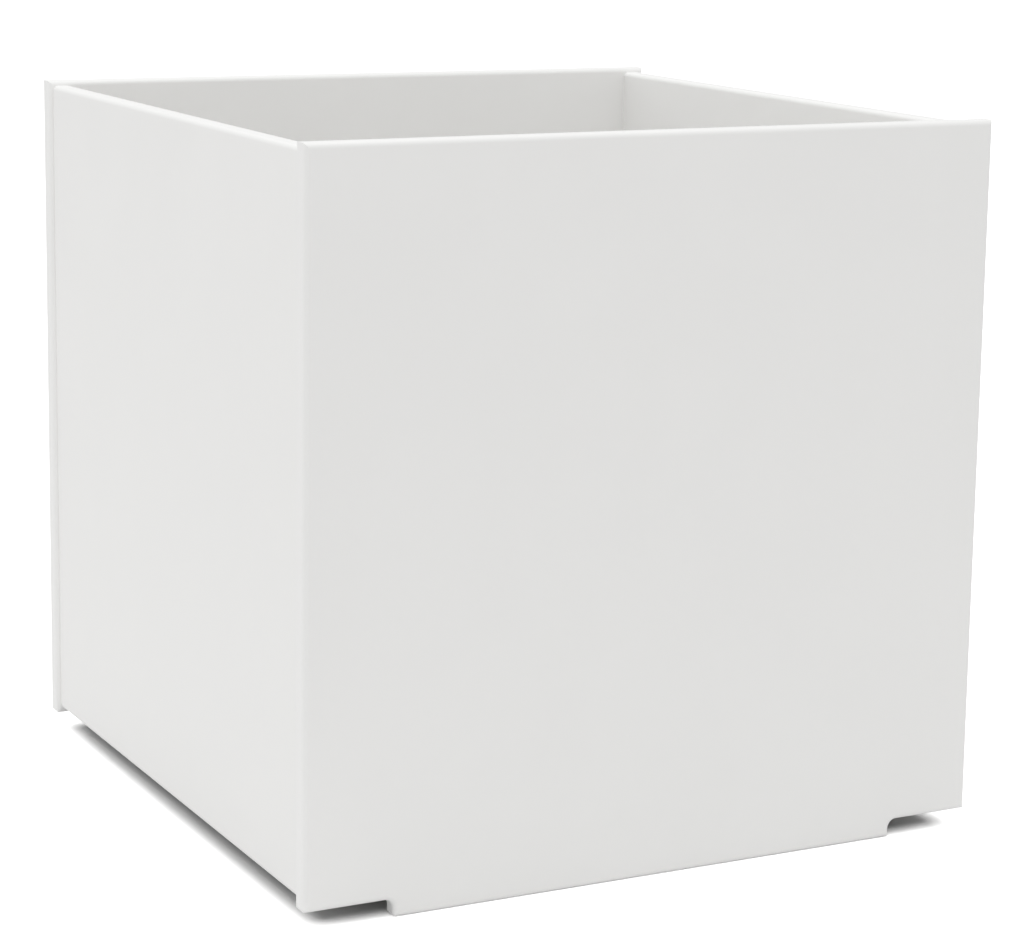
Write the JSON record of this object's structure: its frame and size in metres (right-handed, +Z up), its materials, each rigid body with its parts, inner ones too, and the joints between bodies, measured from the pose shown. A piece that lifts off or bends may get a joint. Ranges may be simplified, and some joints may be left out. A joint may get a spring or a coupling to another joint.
{
  "type": "planter box",
  "caption": "Square open-topped planter box of flat white plastic panels on low feet, with corner posts, floor cleats and a lift-out drained floor inside.",
  "frame": {"origin": "on the ground under the middle of the box", "axes": "+X to the right seen from the front, +Y towards the back, +Z up; the front panel faces -Y"},
  "size_m": [0.4572, 0.4508, 0.4508],
  "materials": {
    "panel_plastic": "white sheet plastic with a satin surface",
    "inner_plastic": "white sheet plastic with sawn edges",
    "screw_steel": "stainless steel"
  },
  "bodies": {
    "box": {"front_panel": "panel_plastic", "back_panel": "panel_plastic", "left_panel": "panel_plastic", "right_panel": "panel_plastic", "front_left_post": "inner_plastic", "front_right_post": "inner_plastic", "back_left_post": "inner_plastic", "back_right_post": "inner_plastic", "front_cleat": "inner_plastic", "back_cleat": "inner_plastic", "left_cleat": "inner_plastic", "right_cleat": "inner_plastic", "front_left_post_screws": "screw_steel", "front_right_post_screws": "screw_steel", "back_left_post_screws": "screw_steel", "back_right_post_screws": "screw_steel", "front_cleat_screws": "screw_steel", "back_cleat_screws": "screw_steel", "left_cleat_screws": "screw_steel", "right_cleat_screws": "screw_steel"},
    "floor": {"floor_panel": "panel_plastic"}
  },
  "joints": [
    {"name": "floor_lift", "type": "slide", "parent": "box", "child": "floor", "axis": [0, 0, 1], "range_m": [0, 0.42]}
  ]
}
